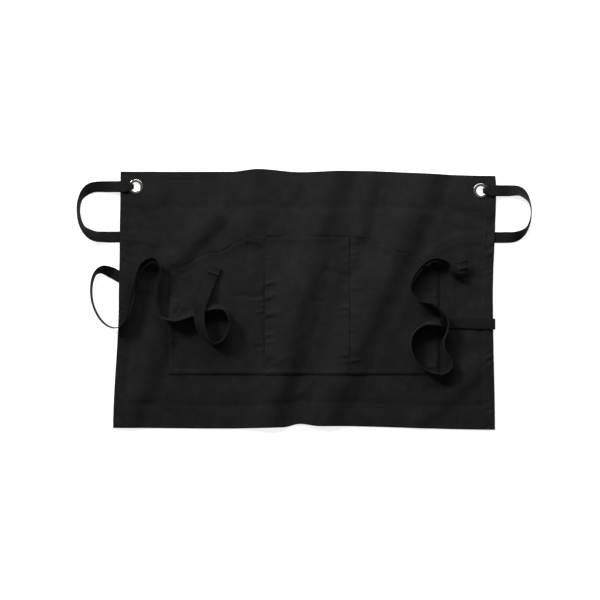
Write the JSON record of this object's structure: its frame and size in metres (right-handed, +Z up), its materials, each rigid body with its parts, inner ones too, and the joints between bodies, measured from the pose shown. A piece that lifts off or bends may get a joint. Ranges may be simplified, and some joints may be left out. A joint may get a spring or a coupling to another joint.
{
  "type": "waist apron",
  "caption": "Half-length waist apron lying flat, with a wide divided patch pocket, metal eyelets in the upper corners and long flat ties looped over the front.",
  "frame": {"origin": "on the table, under the middle of the box that the apron and its ties cover", "axes": "+X runs across the apron to its right side as seen from the front, +Y runs up to the waistband, +Z points up from the table, out of the front face"},
  "size_m": [0.9076, 0.5214, 0.0382],
  "materials": {
    "panel_twill": "black cotton blend twill, matt",
    "pocket_twill": "black cotton blend twill, matt",
    "tie_twill": "folded and stitched black twill tape",
    "eyelet_nickel": "bright nickel plate",
    "washer_nickel": "plain nickel plate"
  },
  "bodies": {
    "root": {"apron_panel": "panel_twill", "pocket": "pocket_twill", "eyelet_left": "eyelet_nickel", "eyelet_right": "eyelet_nickel", "washer_left": "washer_nickel", "washer_right": "washer_nickel", "tie_left": "tie_twill", "tie_right": "tie_twill"}
  },
  "joints": []
}
